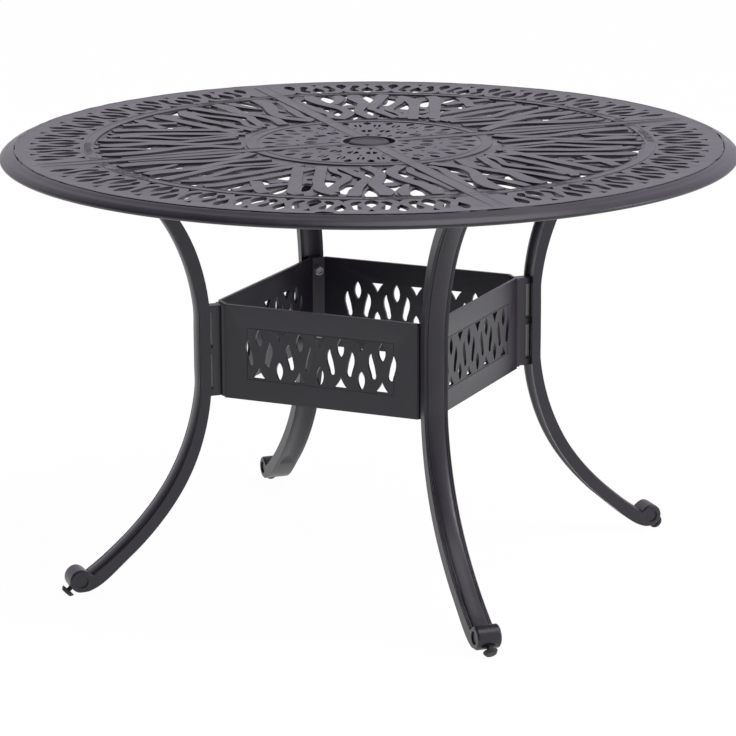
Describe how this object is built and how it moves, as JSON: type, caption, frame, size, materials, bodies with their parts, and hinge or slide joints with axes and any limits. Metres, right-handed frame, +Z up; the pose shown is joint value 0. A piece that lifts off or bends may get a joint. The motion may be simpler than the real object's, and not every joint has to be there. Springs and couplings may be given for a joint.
{
  "type": "umbrella table",
  "caption": "Round cast patio table with a pierced top, an umbrella hole with a lift-out cap, sweeping legs and a square pierced apron.",
  "frame": {"origin": "floor, under the middle of the round top", "axes": "+Z up; the legs and the top's crossed bars lie on X and Y"},
  "size_m": [1.2192, 1.2192, 0.7285],
  "materials": {
    "cast_aluminium": "charcoal powder coat, satin, slightly textured",
    "cap_plastic": "matt charcoal plastic",
    "glide_plastic": "matt black plastic",
    "fastener_steel": "plain steel"
  },
  "bodies": {
    "table": {"table_top": "cast_aluminium", "leg_right": "cast_aluminium", "corner_plate_right": "cast_aluminium", "glide_bushing_right": "glide_plastic", "leg_rear": "cast_aluminium", "corner_plate_rear": "cast_aluminium", "glide_bushing_rear": "glide_plastic", "leg_left": "cast_aluminium", "corner_plate_left": "cast_aluminium", "glide_bushing_left": "glide_plastic", "leg_front": "cast_aluminium", "corner_plate_front": "cast_aluminium", "glide_bushing_front": "glide_plastic", "apron_panel_rear_right": "cast_aluminium", "apron_panel_rear_left": "cast_aluminium", "apron_panel_front_left": "cast_aluminium", "apron_panel_front_right": "cast_aluminium", "leg_bolts": "fastener_steel", "leg_washers": "fastener_steel", "corner_bolts": "fastener_steel", "corner_washers": "fastener_steel"},
    "cap": {"umbrella_hole_cap": "cap_plastic"},
    "glide_right": {"leveling_glide_right": "glide_plastic"},
    "glide_rear": {"leveling_glide_rear": "glide_plastic"},
    "glide_left": {"leveling_glide_left": "glide_plastic"},
    "glide_front": {"leveling_glide_front": "glide_plastic"}
  },
  "joints": [
    {"name": "cap_lift", "type": "slide", "parent": "table", "child": "cap", "axis": [0, 0, 1], "range_m": [0, 0.06]},
    {"name": "glide_right_out", "type": "slide", "parent": "table", "child": "glide_right", "axis": [0.7071, 0, -0.7071], "range_m": [0, 0.008]},
    {"name": "glide_rear_out", "type": "slide", "parent": "table", "child": "glide_rear", "axis": [0, 0.7071, -0.7071], "range_m": [0, 0.008]},
    {"name": "glide_left_out", "type": "slide", "parent": "table", "child": "glide_left", "axis": [-0.7071, 0, -0.7071], "range_m": [0, 0.008]},
    {"name": "glide_front_out", "type": "slide", "parent": "table", "child": "glide_front", "axis": [0, -0.7071, -0.7071], "range_m": [0, 0.008]}
  ]
}
